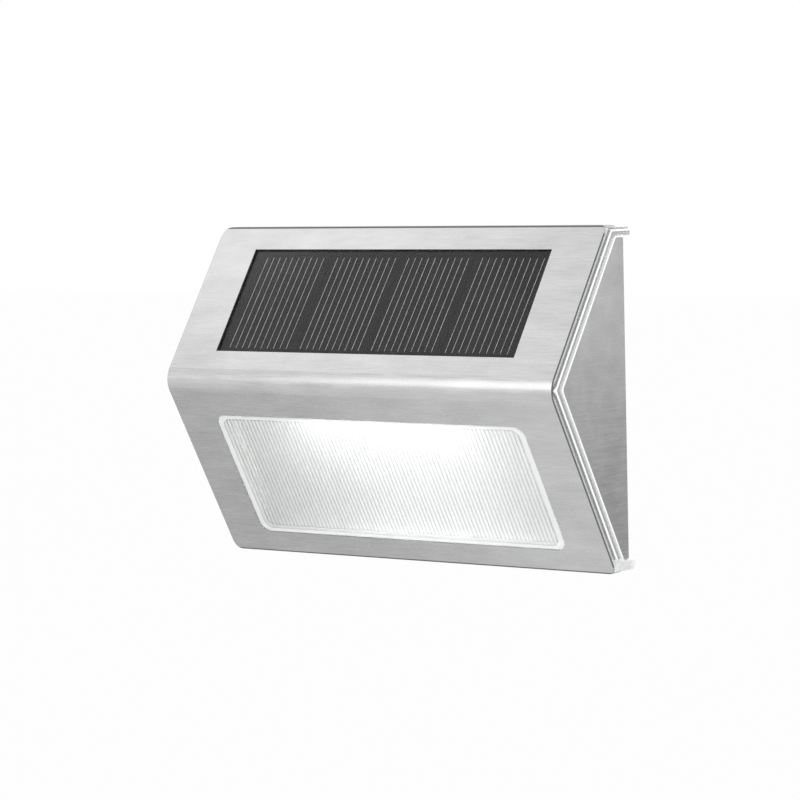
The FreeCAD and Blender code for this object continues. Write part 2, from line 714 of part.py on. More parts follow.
def make_solar_panel():
    across = (-panel_half, panel_half)
    down = (panel_start, panel_end)
    inset = size("tape_inset")
    pieces = [block("solar_film", UPPER, across, down, (film_face, cell_face)),
              less("solar_board", block("solar_board_blank", UPPER, across, down, (board_face, board_back)),
                   [rod("board_eyelet", UPPER, solar_wire_across, solar_wire_drop,
                        (board_face + size("solar_board") / 2, board_back + PAST), size("wire_hole"))])]
    tape = block("panel_tape_blank", UPPER, (-panel_half + inset, panel_half - inset),
                 (panel_start + inset, panel_end - inset), (board_back, tray_floor))
    eyelet = rod("panel_tape_hole", UPPER, solar_wire_across, solar_wire_drop,
                 (board_back - PAST, tray_floor + PAST), size("wire_hole") + size("hole_gap"))
    pieces.append(less("panel_tape", tape, [eyelet]))
    count = int(size("cell_count").value)
    pitch = (panel_width - size("cell_left") - size("cell_right")) / count
    half_gap = size("cell_gap") / 2
    top = size("panel_drop") + size("cell_border")
    bottom = size("panel_drop") + panel_height - size("cell_border")
    for i in range(count):
        left = size("cell_left") - panel_width / 2 + pitch * i
        pieces.append(block("solar_cell_%d" % (i + 1), UPPER, (left + half_gap, left + pitch - half_gap),
                            (top, bottom), (cell_face, board_face)))
    return pieces


# Reflector and lights

reflector_top = size("window_drop") - size("reflector_lead")
reflector_end = window_end + size("reflector_tail")


def reflector_back(level):
    """Depth from the wall of the reflector's back, at a height."""
    upper = LOWER.multVec(Vector(0, float(reflector_top), float(size("reflector_deep"))))
    lower = LOWER.multVec(Vector(0, float(reflector_end), float(size("reflector_shallow"))))
    share = (upper.z - level) / (upper.z - lower.z)
    return -(upper.y + (lower.y - upper.y) * share)


led_wire_across = -size("wire_across")


def make_reflector():
    wall = size("reflector_wall")
    half = window_width / 2 + size("reflector_lap")
    front = wall_inset + size("part_gap")
    top = reflector_top
    end = reflector_end
    deep = size("reflector_deep")
    shallow = size("reflector_shallow")
    outside = prism("reflector_outside", LOWER, "YZ_Plane",
                    [(top, front), (end, front), (end, shallow), (top, deep)], -half, half * 2)
    inside = prism("reflector_inside", LOWER, "YZ_Plane",
                   [(top + wall, front - PAST), (end - wall, front - PAST), (end - wall, shallow - wall),
                    (top + wall, deep - wall)], -half + wall, (half - wall) * 2)
    room = (size("wire_radius") + size("notch_gap")) * 2
    notch = block("led_wire_notch", LOWER, centred(size("wire_spacing") + room, led_wire_across),
                  (top - PAST, top + wall + size("part_gap")), centred(room, size("led_depth")))
    return [less("reflector", outside, [inside, notch])]


def make_lights():
    top = reflector_top + size("reflector_wall") + size("part_gap")
    under = top + size("led_board")
    pieces = [block("led_board", LOWER, centred(size("led_board_width")), (top, under),
                    centred(size("led_board_depth"), size("led_depth")))]
    count = int(size("led_count").value)
    for i in range(count):
        middle = size("led_pitch") * (i - (count - 1) / 2)
        pieces.append(block("led_%d" % (i + 1), LOWER, centred(size("led_width"), middle),
                            (under, under + size("led_height")),
                            centred(size("led_breadth"), size("led_depth"))))
    return pieces


# Back cover, gasket and screws

back_across = side_inner - size("back_gap")
back_up = cavity_top - size("back_gap")
boss_across = back_across - size("gasket_width") - size("boss_gap") - size("screw_radius")
battery_end = size("battery_length") / 2
holder_inner = battery_end + size("contact_room") + size("contact") + size("contact_gap")


def make_keyhole(name, sign):
    """The pocket behind a keyhole, and what is cut from it and from the back."""
    across = keyhole_across * sign
    mouth = keyhole_level
    radius = size("keyhole_radius")
    wall = size("pocket_wall")
    half = radius + size("pocket_side")
    gap = size("keyhole_gap")
    room = (mouth - radius - gap, mouth + size("keyhole_rise") + radius + gap)
    through = (sized(-PAST), size("back") + size("part_gap"))
    deep = size("back") + size("keyhole_room")
    pocket = block("pocket_" + name, WALL, centred((half + wall) * 2, across),
                   (room[0] - wall, room[1] + wall), (size("back") / 2, deep + wall))
    cutters = [block("pocket_room_" + name, WALL, centred(half * 2, across), room, (size("back"), deep)),
               rod("keyhole_mouth_" + name, WALL, across, mouth, through, radius),
               block("keyhole_slot_" + name, WALL, centred(size("keyhole_slot"), across),
                     (mouth, mouth + size("keyhole_rise")), through),
               rod("keyhole_end_" + name, WALL, across, mouth + size("keyhole_rise"), through,
                   size("keyhole_slot") / 2)]
    return pocket, cutters


def make_battery_holder():
    """Saddles and end walls that rise from the back cover."""
    level = battery_level
    depth = size("battery_depth")
    rise = size("battery_radius") + size("saddle_gap")
    half = rise + size("saddle_wall")
    pieces = []
    for name, sign in signs():
        middle = size("saddle_spacing") / 2 * sign
        pieces.append(block("saddle_" + name, WALL, centred(size("saddle_width"), middle),
                            centred(half * 2, level), (size("back") / 2, depth + size("saddle_reach"))))
        span = (holder_inner, holder_inner + size("holder_wall"))
        if sign < 0:
            span = (-span[1], -span[0])
        pieces.append(block("holder_end_" + name, WALL, span, centred(size("holder_width"), level),
                            (size("back") / 2, depth + size("holder_reach"))))
    length = size("saddle_spacing") + size("saddle_width") * 2
    along = moved(WALL, y=level, z=depth) * Placement(Vector(), Rotation(Vector(0, 1, 0), 90))
    bed = rod("cell_bed", along, 0, 0, (-length / 2, length / 2), rise)
    return pieces, bed


def make_back_cover():
    back = size("back")
    plate = rounded_slab("back_plate", WALL, centred(back_across * 2), centred(back_up * 2),
                         (sized(0), back), size("back_radius"))
    solids, cutters = [plate], []
    for name, sign in signs():
        pocket, tools = make_keyhole(name, sign)
        solids.append(pocket)
        cutters += tools
        across = post_across * sign
        solids.append(rod("board_post_" + name, WALL, across, control_level,
                          (back / 2, size("control_depth")), size("post_radius")))
        cutters.append(rod("board_pilot_" + name, WALL, across, control_level,
                           (back + size("pilot_floor"), size("control_depth") + PAST),
                           size("small_screw_radius") + size("thread_gap")))
        level = size("prop_rise") - half_height
        reach = sized(reflector_back(float(level - size("prop_radius")))) - size("prop_gap")
        solids.append(rod("prop_" + name, WALL, size("prop_spacing") / 2 * sign, level, (back / 2, reach),
                          size("prop_radius")))
    holder, bed = make_battery_holder()
    solids += holder
    cutters.append(bed)
    head = size("screw_sink") + size("screw_head")
    for i, (x, y) in enumerate(screw_places(), start=1):
        cutters.append(rod("screw_hole_%d" % i, WALL, x, y, (sized(-PAST), back + PAST),
                           size("screw_radius") + size("free_gap")))
        cutters.append(rod("head_sink_%d" % i, WALL, x, y, (sized(-PAST), head),
                           size("screw_head_radius") + size("free_gap")))
    room = size("slot_gap") * 2
    cutters.append(block("knob_slot", WALL, centred(size("knob_width") + size("switch_travel") + room),
                         centred(size("knob_height") + room, control_level), (sized(-PAST), back + PAST)))
    cutters.append(rounded_slab("finger_recess", WALL, centred(size("finger_width")),
                                centred(size("finger_height"), control_level),
                                (sized(-PAST), size("finger_depth")), size("finger_radius")))
    return [less("back_cover", joined("back_solids", solids), cutters)]


def make_gasket():
    z = (size("back") + size("gasket_gap"), size("back") + size("gasket_gap") + size("gasket"))
    ring = rounded_slab("gasket_outside", WALL, centred(back_across * 2), centred(back_up * 2), z,
                        size("back_radius"))
    hole = block("gasket_opening", WALL, centred((back_across - size("gasket_width")) * 2),
                 centred((back_up - size("gasket_width")) * 2), (z[0] - PAST, z[1] + PAST))
    return [less("back_gasket", ring, [hole])]


def make_screws(label, places, head_z, reach, radius, head_radius, recess_z):
    """Screws along the frame's Z, each a head with a cross recess and a shank in one."""
    screws = []
    arms = (size("recess_length"), size("recess_width"))
    for i, (x, y) in enumerate(places, start=1):
        head = rod("%s_head_%d" % (label, i), WALL, x, y, head_z, head_radius)
        shank = rod("%s_shank_%d" % (label, i), WALL, x, y, reach, radius)
        cross = [block("%s_recess_%d_%s" % (label, i, side), WALL, centred(wide, x), centred(high, y),
                       recess_z) for side, wide, high in (("across", *arms), ("upwards", *arms[::-1]))]
        screws.append(less("%s_%d" % (label, i), joined("%s_blank_%d" % (label, i), [head, shank]), cross))
    return [grouped(label, screws)]


def make_cover_screws():
    sink = size("screw_sink")
    head = (sink, sink + size("screw_head"))
    return make_screws("cover_screws", screw_places(), head, (sink, size("screw_reach")),
                       size("screw_radius"), size("screw_head_radius"),
                       (sink - PAST, sink + size("recess_depth")))


# Battery and contacts

def make_battery():
    along = moved(WALL, y=battery_level, z=size("battery_depth")) * Placement(
        Vector(), Rotation(Vector(0, 1, 0), 90))
    half = battery_end
    can = rod("battery_can", along, 0, 0, (-half, half - size("battery_nub")), size("battery_radius"))
    nub = rod("battery_nub", along, 0, 0, (half - size("battery_nub") * 2, half), size("battery_nub_radius"))
    return [joined("battery_cell", [can, nub])]


def make_contact(label, sign):
    """A strip against the holder's end wall, with a leaf bent out to the cell."""
    depth = size("battery_depth")
    back_face = holder_inner - size("contact_gap") / 2
    front_face = back_face - size("contact")
    touch = battery_end + size("contact_gap")
    rise = size("leaf_half")
    flat = size("contact")
    leaf = [(front_face, -(depth - rise)), (touch, -(depth - flat)), (touch, -(depth + flat)),
            (front_face, -(depth + rise)), (front_face, -(depth + rise - flat * 1.7)),
            (touch + flat, -(depth + flat * 0.6)), (touch + flat, -(depth - flat * 0.6)),
            (front_face, -(depth - rise + flat * 1.7))]
    low = size("back") + size("contact_gap")
    high = depth + rise + flat
    strip = [(front_face, -low), (front_face, -high), (back_face, -high), (back_face, -low)]
    start = battery_level - size("contact_width") / 2
    solids = []
    for name, corners in (("leaf", leaf), ("strip", strip)):
        corners = [(x * sign, y) for x, y in corners]
        solids.append(prism("%s_%s" % (label, name), PLAIN, "XY_Plane", corners, start,
                            size("contact_width")))
    return joined(label, solids)


def make_contacts():
    return [make_contact("contact_positive", 1), make_contact("contact_negative", -1)]


# Control board, its components and the switch

def make_control_board():
    depth = size("control_depth")
    level = control_level
    thick = size("control_board")
    board = block("control_board_blank", WALL, centred(size("control_width")),
                  centred(size("control_height"), level), (depth, depth + thick))
    places = [(post_across * sign, level) for name, sign in signs()]
    holes = [rod("board_hole_%d" % i, WALL, x, y, (depth - PAST, depth + thick + PAST),
                 size("small_screw_radius") + size("free_gap")) for i, (x, y) in enumerate(places, start=1)]
    pieces = [less("control_board", board, holes)]
    front = depth + thick
    top = front + size("small_head")
    pieces += make_screws("control_screws", places, (front, top),
                          (size("back") + size("pilot_floor") + size("pilot_spare"), top),
                          size("small_screw_radius"), size("small_head_radius"),
                          (top - size("recess_depth"), top + PAST))
    across = size("component_across")
    pieces.append(block("controller_chip", WALL, centred(size("chip_width"), -across),
                        centred(size("chip_height"), level + size("chip_rise")),
                        (depth - size("chip_thickness"), depth)))
    coil_frame = moved(WALL, across, level - size("coil_drop"), depth - size("coil_radius")) * Placement(
        Vector(), Rotation(Vector(0, 1, 0), 90))
    pieces.append(rod("inductor", coil_frame, 0, 0, centred(size("coil_length")), size("coil_radius")))
    pieces.append(rod("capacitor", WALL, across, level + size("can_rise"),
                      (depth - size("can_length"), depth), size("can_radius")))
    return pieces


def make_switch():
    level = control_level
    face = size("back") + size("switch_gap")
    case = block("switch_case", WALL, centred(size("switch_width")), centred(size("switch_height"), level),
                 (face, size("control_depth")))
    travel = size("switch_travel")
    gap = size("knob_gap")
    track = block("switch_track", WALL, centred(size("knob_width") + travel + gap * 2),
                  centred(size("knob_height") + gap * 2, level),
                  (face - PAST, face + size("knob_seat") + gap))
    knob = block("switch_knob", WALL, centred(size("knob_width"), -travel / 2),
                 centred(size("knob_height"), level), (size("knob_sink"), face + size("knob_seat")))
    return [less("switch_body", case, [track]), knob]


# Wires: straight runs joined by tangent arcs

def make_wire(label, points):
    """A tube through the points. Each arc is as large as the two runs beside it allow."""
    edges, radii = [], []
    start = points[0]
    for before, point, after in zip(points, points[1:], points[2:]):
        back, ahead = before - point, after - point
        half = back.getAngle(ahead) / 2
        reach = 0.45 * min(back.Length, ahead.Length)
        radius = reach * math.tan(half)
        back.normalize()
        ahead.normalize()
        middle = point + (back + ahead).normalize() * (radius / math.sin(half) - radius)
        edges.append(Part.LineSegment(start, point + back * reach).toShape())
        edges.append(Part.Arc(point + back * reach, middle, point + ahead * reach).toShape())
        start = point + ahead * reach
        radii.append(radius)
    edges.append(Part.LineSegment(start, points[-1]).toShape())
    path = Part.Wire(edges)
    ahead = points[1] - points[0]
    spoke = ahead.cross(Vector(1, 0, 0)).normalize() * size("wire_radius").value
    turns = [Rotation(ahead, 360 * i / WIRE_SIDES) for i in range(WIRE_SIDES)]
    corners = [points[0] + turn.multVec(spoke) for turn in turns]
    ring = Part.makePolygon(corners + corners[:1])
    wire = doc.addObject("Part::Feature", label)
    wire.Label = label
    wire.Shape = path.makePipeShell([ring], True, False)
    share = wire.Shape.Volume / (Part.Face(ring).Area * path.Length)
    print("%s %.1f mm long, volume %.4f of its path's, radii %s" % (
        label, path.Length, share, ", ".join("%.1f" % radius for radius in radii)))
    return wire


def at(across, out, up):
    return WALL.multVec(Vector(float(across), float(up), float(out)))


def make_wires():
    """A pair from the solar panel, a pair from the lights and one wire from each contact."""
    rear = size("control_depth")
    front = rear + size("control_board")
    solder = solder_level
    axis = at(0, size("battery_depth"), battery_level)
    corner = LOWER.multVec(Vector(0, reflector_top.value, size("reflector_deep").value))
    apart = corner - axis
    middle = axis + apart * ((size("battery_radius").value + apart.Length) / 2 / apart.Length)
    along = Vector(0, apart.z, -apart.y).normalize()
    tail = [middle + along * size("bend_above").value, middle - along * size("bend_below").value,
            at(0, front + size("board_lead"), solder), at(0, front, solder)]
    panel = [UPPER.multVec(Vector(0, solar_wire_drop.value, depth.value))
             for depth in (board_face + size("solar_board") / 2, tray_floor + size("panel_lead"))]
    lights = [LOWER.multVec(Vector(0, down.value, size("led_depth").value))
              for down in (reflector_top + size("reflector_wall"), reflector_top - size("led_lead"))]
    wires = []
    for name, across, start in (("solar", solar_wire_across, panel), ("led", led_wire_across, lights)):
        for colour, side in (("red", 1), ("black", -1)):
            shift = Vector((across + size("wire_spacing") / 2 * side).value, 0, 0)
            wires.append(make_wire("%s_wire_%s" % (name, colour), [point + shift for point in start + tail]))
    edge = battery_level - size("contact_width") / 2
    contact = holder_inner - size("wire_radius") - size("contact_gap")
    inner = size("control_width") / 2 - size("solder_inset")
    outer = inner + size("battery_swing")
    run = rear - size("battery_run")
    for colour, side in (("red", 1), ("black", -1)):
        wires.append(make_wire("battery_wire_" + colour, [
            at(contact * side, run, edge), at(contact * side, run, solder + size("battery_turn")),
            at(outer * side, run, solder + size("battery_sag")), at(inner * side, run, solder),
            at(inner * side, rear, solder)]))
    return wires


PARTS = (make_front_cover() + make_side_plates() + make_clear_housing() + make_solar_panel()
         + make_reflector() + make_lights() + make_back_cover() + make_gasket() + make_cover_screws()
         + make_battery() + make_contacts() + make_control_board() + make_switch() + make_wires())

doc.recompute()


def check(item):
    if {"Invalid", "Error"} & set(item.State):
        raise RuntimeError("%s did not build: %s" % (item.Label, item.State))
    if item.isDerivedFrom("Part::Feature") and (item.Shape.isNull() or not item.Shape.isValid()):
        raise RuntimeError("%s has no valid shape" % item.Label)


for item in doc.Objects:
    if item.isDerivedFrom("Sketcher::SketchObject"):
        if not item.FullyConstrained:
            print("open sketch", item.Label)
    elif not item.isDerivedFrom("App::Origin") and not item.isDerivedFrom("App::DatumElement"):
        check(item)

os.makedirs("parts", exist_ok=True)
for part in PARTS:
    part.Shape.exportStep("parts/%s.step" % part.Label)
    box = part.Shape.BoundBox
    print("%-18s %2d solid %9.1f mm3  x %.2f..%.2f  y %.2f..%.2f  z %.2f..%.2f" % (
        part.Label, len(part.Shape.Solids), part.Shape.Volume, box.XMin, box.XMax, box.YMin, box.YMax,
        box.ZMin, box.ZMax))
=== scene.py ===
import math

import bmesh
import bpy
from mathutils import Matrix, Vector


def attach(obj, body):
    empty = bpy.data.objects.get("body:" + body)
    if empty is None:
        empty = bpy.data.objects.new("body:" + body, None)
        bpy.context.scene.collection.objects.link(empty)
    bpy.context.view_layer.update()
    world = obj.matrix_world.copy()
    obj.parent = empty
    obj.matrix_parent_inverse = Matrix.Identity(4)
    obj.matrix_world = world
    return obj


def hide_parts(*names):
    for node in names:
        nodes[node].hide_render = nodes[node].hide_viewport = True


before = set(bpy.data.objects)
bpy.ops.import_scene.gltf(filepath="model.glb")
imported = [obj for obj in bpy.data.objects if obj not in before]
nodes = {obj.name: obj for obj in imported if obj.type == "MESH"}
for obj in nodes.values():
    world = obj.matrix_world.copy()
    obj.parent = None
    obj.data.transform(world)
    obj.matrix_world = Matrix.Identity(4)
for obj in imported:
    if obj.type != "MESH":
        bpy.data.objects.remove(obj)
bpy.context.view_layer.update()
mm = 0.001

# side view of the steel cover: millimetres from the wall and from the middle height
coverShape = {
    "top": (-8.7, 40.5),
    "crease": (-33.0, 4.0),
    "bottom": (-7.5, -40.5),
}


def slopeFrame(start, end):
    # x across, y down the slope, z inwards
    down = Vector((0, end[0] - start[0], end[1] - start[1])).normalized()
    inward = Vector((1, 0, 0)).cross(down)
    turn = Matrix((Vector((1, 0, 0)), down, inward)).transposed().to_4x4()
    return Matrix.Translation(Vector((0, start[0], start[1])) * mm) @ turn


upperSlope = slopeFrame(coverShape["top"], coverShape["crease"])
lowerSlope = slopeFrame(coverShape["crease"], coverShape["bottom"])
print("frame loaded:", len(nodes), "nodes")


# small helpers for the materials

def newMaterial(name):
    material = bpy.data.materials.new(name)
    material.use_nodes = True
    tree = material.node_tree
    tree.nodes.clear()
    output = tree.nodes.new("ShaderNodeOutputMaterial")
    shader = tree.nodes.new("ShaderNodeBsdfPrincipled")
    tree.links.new(shader.outputs[0], output.inputs[0])
    return material, tree, shader


def addNode(tree, kind, inputs=None, **settings):
    # an input is a plain value or another node's socket
    node = tree.nodes.new(kind)
    for key, value in settings.items():
        setattr(node, key, value)
    for key, value in (inputs or {}).items():
        if isinstance(value, bpy.types.NodeSocket):
            tree.links.new(value, node.inputs[key])
        else:
            node.inputs[key].default_value = value
    return node


def objectPlace(tree):
    return addNode(tree, "ShaderNodeTexCoord").outputs["Object"]


def objectNoise(tree, stretch, scale, detail, roughness=0.5):
    mapping = addNode(tree, "ShaderNodeMapping", {"Vector": objectPlace(tree), "Scale": stretch})
    noise = addNode(tree, "ShaderNodeTexNoise", {"Vector": mapping.outputs[0], "Scale": scale,
                                                 "Detail": detail, "Roughness": roughness})
    return noise.outputs[0]


def spread(tree, value, low, high, fromLow=0.3, fromHigh=0.7):
    # most of a noise lies between 0.3 and 0.7
    return addNode(tree, "ShaderNodeMapRange", {"Value": value, "From Min": fromLow, "From Max": fromHigh,
                                                "To Min": low, "To Max": high}).outputs[0]


def maths(tree, operation, first, second=0.0):
    return addNode(tree, "ShaderNodeMath", {0: first, 1: second}, operation=operation).outputs[0]


def times(tree, first, second):
    return maths(tree, "MULTIPLY", first, second)


def blend(tree, share, first, second):
    return addNode(tree, "ShaderNodeMix", {0: share, 2: first, 3: second}).outputs[0]


def tint(tree, share, dark, light):
    colours = {0: share, 6: (*dark, 1), 7: (*light, 1)}
    return addNode(tree, "ShaderNodeMix", colours, data_type="RGBA").outputs[2]


def bump(tree, height, distance):
    return addNode(tree, "ShaderNodeBump", {"Height": height, "Distance": distance, "Strength": 1}).outputs[0]


def mixShaders(tree, share, first, second):
    mix = addNode(tree, "ShaderNodeMixShader", {0: share, 1: first, 2: second})
    tree.links.new(mix.outputs[0], tree.nodes["Material Output"].inputs[0])


def slopeRun(tree, place, slope, axis):
    # distance along one axis of a slope's frame, in millimetres
    way = slope.to_3x3().col[axis]
    along = addNode(tree, "ShaderNodeVectorMath", {0: place, 1: way}, operation="DOT_PRODUCT")
    start = way.dot(slope.translation)
    return times(tree, maths(tree, "SUBTRACT", along.outputs["Value"], start), 1 / mm)


# brushed steel of the cover and the side plates, with painted shade: dark matt grey where the sheet is cut or
# folded back
brushedLook = {
    "cover": ((0.495, 0.495, 0.5), (0.605, 0.605, 0.608)),
    # the side plates' tones are darker than the cover's though it is the same steel: painted shade
    "plate": ((0.335, 0.335, 0.34), (0.415, 0.415, 0.42)),
    "coverGrain": (130, 3200, 3200),
    "plateGrain": (3200, 130, 3200),
    "grain": (4.0, 0.6),  # detail and roughness of the noise, and so for the clouds
    "cloudStretch": (60, 160, 160),
    "clouds": (3.0, 0.6),
    "contrast": (0.36, 0.64),
    # painted shade: the dark matt grey of the cut end faces and the folds
    "paintedEdgeShade": (0.19, 0.19, 0.19),
    "roughness": (0.21, 0.32),
    "anisotropic": 0.65,
    "grainDepth": 0.000008,
    "endFace": 57.45,  # millimetres from the middle
    "fold": (40.1, 0.85),  # millimetres: height from the middle, and depth under the slope
}


def brushedSteel(name, tones, grainStretch, tangentAxis):
    look = brushedLook
    material, tree, shader = newMaterial(name)
    grain = objectNoise(tree, grainStretch, 1.0, *look["grain"])
    clouds = objectNoise(tree, look["cloudStretch"], 1.0, *look["clouds"])
    mixed = maths(tree, "ADD", times(tree, grain, 0.5), times(tree, clouds, 0.5))
    steel = tint(tree, spread(tree, mixed, 0, 1, *look["contrast"]), *tones)

    # painted shade: the cut end faces, and the turned edges seen from behind, are dark matt grey
    place = objectPlace(tree)
    parts = addNode(tree, "ShaderNodeSeparateXYZ", {0: place})
    paintedShadeMask = maths(tree, "GREATER_THAN", maths(tree, "ABSOLUTE", parts.outputs[0]), look["endFace"] * mm)
    height, depth = look["fold"]
    fold = maths(tree, "GREATER_THAN", maths(tree, "ABSOLUTE", parts.outputs[2]), height * mm)
    for slope in (upperSlope, lowerSlope):
        near = maths(tree, "LESS_THAN", slopeRun(tree, place, slope, 2), depth)
        paintedShadeMask = maths(tree, "MAXIMUM", paintedShadeMask, times(tree, fold, near))
    paintedEdgeShade = (*look["paintedEdgeShade"], 1)
    colour = addNode(tree, "ShaderNodeMix", {0: paintedShadeMask, 6: steel, 7: paintedEdgeShade}, data_type="RGBA")
    tree.links.new(colour.outputs[2], shader.inputs["Base Color"])

    shader.inputs["Metallic"].default_value = 1
    tree.links.new(spread(tree, grain, *look["roughness"]), shader.inputs["Roughness"])
    shader.inputs["Anisotropic"].default_value = look["anisotropic"]
    tangent = addNode(tree, "ShaderNodeTangent", direction_type="RADIAL", axis=tangentAxis)
    tree.links.new(tangent.outputs[0], shader.inputs["Tangent"])
    surface = bump(tree, grain, look["grainDepth"])
    tree.links.new(surface, shader.inputs["Normal"])
    paintedShadeMatt = addNode(tree, "ShaderNodeBsdfDiffuse", {"Color": paintedEdgeShade, "Normal": surface})
    mixShaders(tree, paintedShadeMask, shader.outputs[0], paintedShadeMatt.outputs[0])
    return material


# every plain finish: dark and light tone, roughness, scale of its grain, and what else its shader takes
plainFinishes = {
    "blackPlastic": ((0.022, 0.022, 0.023), (0.034, 0.034, 0.035), (0.42, 0.58), 2400.0, {}),
    "cellSilicon": ((0.01, 0.0105, 0.012), (0.014, 0.0145, 0.016), (0.4, 0.5), 5200.0,
                    {"Specular IOR Level": 0.1}),
    "blackBoard": ((0.014, 0.014, 0.015), (0.019, 0.019, 0.02), (0.4, 0.55), 3000.0,
                   {"Specular IOR Level": 0.1}),
    "whiteBoard": ((0.78, 0.78, 0.75), (0.88, 0.88, 0.86), (0.35, 0.5), 3000.0, {}),
    "greenBoard": ((0.015, 0.1, 0.045), (0.03, 0.16, 0.08), (0.3, 0.45), 3000.0, {}),
    "adhesive": ((0.7, 0.7, 0.68), (0.82, 0.82, 0.8), (0.6, 0.8), 1800.0, {}),
    "silicone": ((0.5, 0.51, 0.52), (0.58, 0.59, 0.6), (0.5, 0.65), 1600.0, {}),
    "zincScrew": ((0.45, 0.45, 0.46), (0.6, 0.6, 0.6), (0.25, 0.4), 2600.0, {"Metallic": 1.0}),
    "nickelStrip": ((0.6, 0.58, 0.53), (0.7, 0.68, 0.62), (0.18, 0.3), 2200.0, {"Metallic": 1.0}),
    "cellSleeve": ((0.09, 0.3, 0.16), (0.13, 0.38, 0.22), (0.2, 0.3), 1400.0, {}),
    "component": ((0.02, 0.02, 0.022), (0.04, 0.04, 0.043), (0.4, 0.55), 3200.0, {}),
    "redWire": ((0.45, 0.02, 0.02), (0.6, 0.035, 0.03), (0.4, 0.5), 2000.0, {}),
    "blackWire": ((0.015, 0.015, 0.015), (0.025, 0.025, 0.026), (0.4, 0.5), 2000.0, {}),
    "silverFinger": ((0.5, 0.5, 0.5), (1.0, 1.0, 1.0), (0.3, 0.5), 32000.0, {}),
    "lampPhosphor": ((0.85, 0.8, 0.5), (0.95, 0.9, 0.6), (0.3, 0.4), 2500.0, {}),
    "litReflector": ((0.86, 0.86, 0.85), (0.93, 0.93, 0.92), (0.25, 0.4), 1500.0, {}),
}
plainGrain = {"detail": 4.0, "roughness": 0.6, "depth": 0.00002, "blotchShare": 0.03, "blotchDetail": 2.0}


def plainFinish(name, dark, light, roughness, scale, extra):
    look = plainGrain
    material, tree, shader = newMaterial(name)
    grain = objectNoise(tree, (1, 1, 1), scale, look["detail"], look["roughness"])
    blotch = objectNoise(tree, (1, 1, 1), scale * look["blotchShare"], look["blotchDetail"])
    tree.links.new(tint(tree, spread(tree, blotch, 0, 1), dark, light), shader.inputs["Base Color"])
    tree.links.new(spread(tree, grain, *roughness), shader.inputs["Roughness"])
    tree.links.new(bump(tree, grain, look["depth"]), shader.inputs["Normal"])
    for key, value in extra.items():
        shader.inputs[key].default_value = value
    return material


# milk is the share that isn't clear, where no pattern is drawn
clearLook = {
    "tints": ((0.96, 0.965, 0.965), (0.985, 0.99, 0.99)),
    "roughness": (0.03, 0.08),
    "ior": 1.49,
    "milk": 0.2,
    "ripple": 0.00001,
}
resinLook = {
    "tints": ((0.96, 0.965, 0.97), (0.99, 0.99, 1.0)),
    "roughness": (0.06, 0.1),
    "ior": 1.37,
    "milk": 0.0,
    "ripple": 0.0000015,
}
clearGrain = {
    "ripple": (220.0, 2.0),  # scale and detail of the noise, and so for the dust
    "dust": (2600.0, 3.0),
    "shadowTint": (0.94, 0.95, 0.95),
}


def clearPlastic(name, look):
    # shadow rays go straight through, so the lamps reach what lies behind
    material, tree, shader = newMaterial(name)
    ripple = objectNoise(tree, (1, 1, 1), *clearGrain["ripple"])
    dust = objectNoise(tree, (1, 1, 1), *clearGrain["dust"])
    tree.links.new(tint(tree, spread(tree, ripple, 0, 1), *look["tints"]), shader.inputs["Base Color"])
    tree.links.new(spread(tree, dust, *look["roughness"]), shader.inputs["Roughness"])
    tree.links.new(bump(tree, ripple, look["ripple"]), shader.inputs["Normal"])
    shader.inputs["Transmission Weight"].default_value = 1 - look["milk"]
    shader.inputs["IOR"].default_value = look["ior"]
    path = addNode(tree, "ShaderNodeLightPath")
    through = addNode(tree, "ShaderNodeBsdfTransparent", {0: (*clearGrain["shadowTint"], 1)})
    mixShaders(tree, path.outputs["Is Shadow Ray"], shader.outputs[0], through.outputs[0])
    return material, tree, shader


# the moulded rims at both ends, in millimetres: painted highlight lines, milky and glowing, with duller bands
# between them
rimLook = {
    "from": 55.85,
    "soft": 0.1,
    "capShare": 1.41,  # the bands are narrower by this along the top and the bottom
    "bands": ((0.0, 0.4), (0.25, 0.7), (0.8, 0.7), (1.0, 0.25), (1.3, 0.25), (1.5, 1.0), (2.0, 1.0),
              (2.2, 0.25), (2.5, 0.45), (3.4, 0.45), (3.7, 1.0)),
    "depth": 4.1,
    "glintLevels": (0.6, 1.0),
    # painted highlight: below this height the foot is milky and glows
    "foot": (-36.8, 0.6, 0.75),  # height, milk and glow
    # strength of the painted glow on the highlight lines
    "glow": 0.25,
}


def rimLines(tree, look):
    place = objectPlace(tree)
    parts = addNode(tree, "ShaderNodeSeparateXYZ", {0: place})
    across = maths(tree, "ABSOLUTE", parts.outputs[0])
    height = maths(tree, "ABSOLUTE", parts.outputs[2])

    # depth under the nearest edge of the side view
    fromTop = maths(tree, "SUBTRACT", coverShape["top"][1] * mm, height)
    depth = times(tree, fromTop, look["capShare"] / mm)
    for slope in (upperSlope, lowerSlope):
        depth = maths(tree, "MINIMUM", depth, slopeRun(tree, place, slope, 2))
    ramp = addNode(tree, "ShaderNodeValToRGB", {0: spread(tree, depth, 0, 1, 0, look["depth"])})
    elements = ramp.color_ramp.elements
    for i, (start, level) in enumerate(look["bands"]):
        element = elements[0] if i == 0 else elements.new(start / look["depth"])
        element.position = start / look["depth"]
        element.color = (level, level, level, 1)
    elements[-1].color = elements[-2].color  # the last band runs on to the full depth

    footHeight, footMilk, footGlow = look["foot"]
    foot = maths(tree, "LESS_THAN", parts.outputs[2], footHeight * mm)
    milk = blend(tree, foot, ramp.outputs[0], footMilk)
    # painted highlights: the brightest bands glow
    paintedGlints = blend(tree, foot, spread(tree, ramp.outputs[0], 0, 1, *look["glintLevels"]), footGlow)
    atEnd = spread(tree, across, 0, 1, (look["from"] - look["soft"]) * mm, look["from"] * mm)
    return milk, times(tree, paintedGlints, atEnd), atEnd


